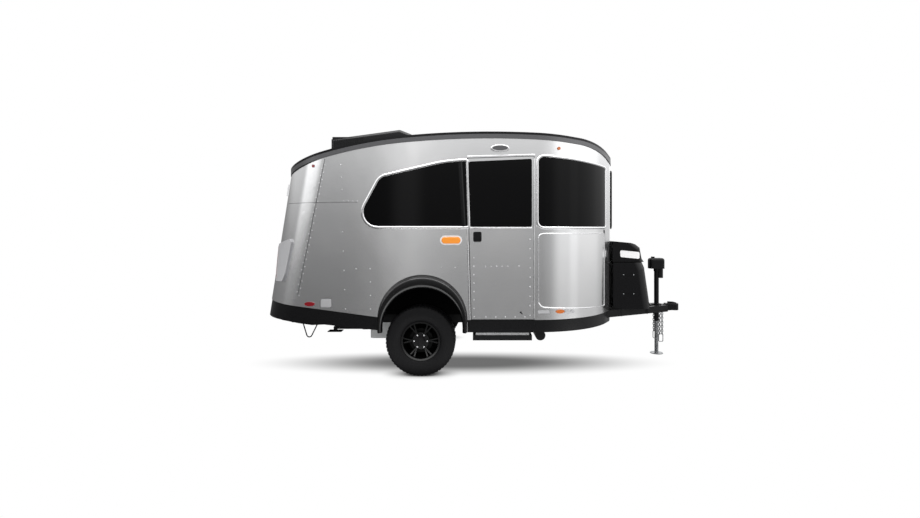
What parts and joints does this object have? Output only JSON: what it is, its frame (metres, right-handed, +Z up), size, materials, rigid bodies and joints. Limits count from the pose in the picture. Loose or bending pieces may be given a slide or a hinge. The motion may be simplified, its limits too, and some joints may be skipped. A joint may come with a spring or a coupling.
{
  "type": "travel caravan",
  "caption": "Small single-axle travel caravan with a riveted aluminium body, wrap-round front windows, side door, tail hatch, roof air unit, gas locker and front jack.",
  "frame": {"origin": "on the ground under the middle of the trailer's whole length and width", "axes": "+X forward to the coupler, +Y to the left side, +Z up; the door is on the right side at -Y"},
  "size_m": [4.8, 2.14, 2.7224],
  "materials": {
    "alu_skin": "brushed, clear coated",
    "polished_trim": "polished",
    "grey_rail": "satin",
    "black_plastic": "fine grain",
    "gloss_black": "gloss",
    "tinted_glass": "dark tint",
    "tyre_rubber": "matt",
    "black_alloy": "satin",
    "chassis_black": "powder coat",
    "drum_iron": "rough",
    "floor_board": "sealed board",
    "step_silver": "ribbed",
    "galvanised": "galvanised",
    "bottle_white": "gloss",
    "lamp_red": "clear red",
    "lamp_amber": "clear amber",
    "tank_grey": "plain",
    "lamp_housing": "silver paint",
    "plate_white": "plain, blank",
    "fitting_silver": "satin"
  },
  "bodies": {
    "caravan_body": {"a_frame": "chassis_black", "air_unit": "black_plastic", "axle_beam": "chassis_black", "chassis_frame": "chassis_black", "coupler": "chassis_black", "door_hinge_plates": "polished_trim", "fender_flares": "gloss_black", "fixed_windows": "tinted_glass", "floor_panel": "floor_board", "front_corner_left": "alu_skin", "front_corner_right": "alu_skin", "front_glass": "tinted_glass", "front_guards": "polished_trim", "front_wall": "alu_skin", "gas_bottles": "bottle_white", "hose_carrier": "black_plastic", "jack_tube": "chassis_black", "locker_base": "gloss_black", "marker_lamps": "lamp_amber", "porch_lamp": "lamp_amber", "red_lamps": "lamp_red", "roof_rail": "grey_rail", "roof_shell": "alu_skin", "roof_trim": "gloss_black", "safety_chains": "galvanised", "side_fittings": "fitting_silver", "side_skirts": "black_plastic", "side_wall_left": "alu_skin", "side_wall_right": "alu_skin", "skirt_front": "black_plastic", "skirt_tail": "black_plastic", "step_runners": "chassis_black", "tail_corner_left": "alu_skin", "tail_corner_right": "alu_skin", "tail_lamps": "lamp_housing", "tail_tray": "black_plastic", "tail_wall": "alu_skin", "vent_base": "black_plastic", "waste_tank": "tank_grey", "wheel_tubs": "black_plastic"},
    "wheel_right": {"tyre_right": "tyre_rubber", "rim_right": "black_alloy", "brake_drum_right": "drum_iron"},
    "wheel_left": {"tyre_left": "tyre_rubber", "rim_left": "black_alloy", "brake_drum_left": "drum_iron"},
    "side_door": {"side_door": "alu_skin", "door_glass": "tinted_glass", "door_latch": "black_plastic"},
    "hatch": {"hatch": "black_plastic", "hatch_glass": "tinted_glass", "hatch_handle": "black_plastic"},
    "locker_lid": {"locker_lid": "gloss_black", "lid_plates": "plate_white"},
    "vent_lid": {"vent_lid": "black_plastic"},
    "jack_leg": {"jack_leg": "galvanised"},
    "stabiliser_right": {"stabiliser_arm_right": "chassis_black"},
    "stabiliser_left": {"stabiliser_arm_left": "chassis_black"},
    "entry_step": {"entry_step": "chassis_black", "step_tread": "step_silver"}
  },
  "joints": [
    {"name": "wheel_right_spin", "type": "hinge", "parent": "caravan_body", "child": "wheel_right", "pos_m": [-0.712, -0.8525, 0.3667], "axis": [0, 1, 0], "continuous": true},
    {"name": "wheel_left_spin", "type": "hinge", "parent": "caravan_body", "child": "wheel_left", "pos_m": [-0.712, 0.8525, 0.3667], "axis": [0, 1, 0], "continuous": true},
    {"name": "side_door_hinge", "type": "hinge", "parent": "caravan_body", "child": "side_door", "pos_m": [0.476, -1.027, 1.4], "axis": [0, 0, 1], "range_deg": [0, 170]},
    {"name": "hatch_hinge", "type": "hinge", "parent": "caravan_body", "child": "hatch", "pos_m": [-2.22404, 0, 1.92884], "axis": [0, 1, 0], "range_deg": [0, 75]},
    {"name": "locker_lid_hinge", "type": "hinge", "parent": "caravan_body", "child": "locker_lid", "pos_m": [1.476, 0, 1.396], "axis": [0, -1, 0], "range_deg": [0, 70]},
    {"name": "vent_lid_hinge", "type": "hinge", "parent": "caravan_body", "child": "vent_lid", "pos_m": [-0.03, 0, 2.568], "axis": [0, -1, 0], "range_deg": [0, 60]},
    {"name": "jack_slide", "type": "slide", "parent": "caravan_body", "child": "jack_leg", "axis": [0, 0, 1], "range_m": [0, 0.3]},
    {"name": "stabiliser_right_hinge", "type": "hinge", "parent": "caravan_body", "child": "stabiliser_right", "pos_m": [-1.305, -0.86, 0.5], "axis": [0, -1, 0], "range_deg": [0, 65]},
    {"name": "stabiliser_left_hinge", "type": "hinge", "parent": "caravan_body", "child": "stabiliser_left", "pos_m": [-1.305, 0.86, 0.5], "axis": [0, -1, 0], "range_deg": [0, 65]},
    {"name": "entry_step_slide", "type": "slide", "parent": "caravan_body", "child": "entry_step", "axis": [0, -1, 0], "range_m": [0, 0.25]}
  ]
}
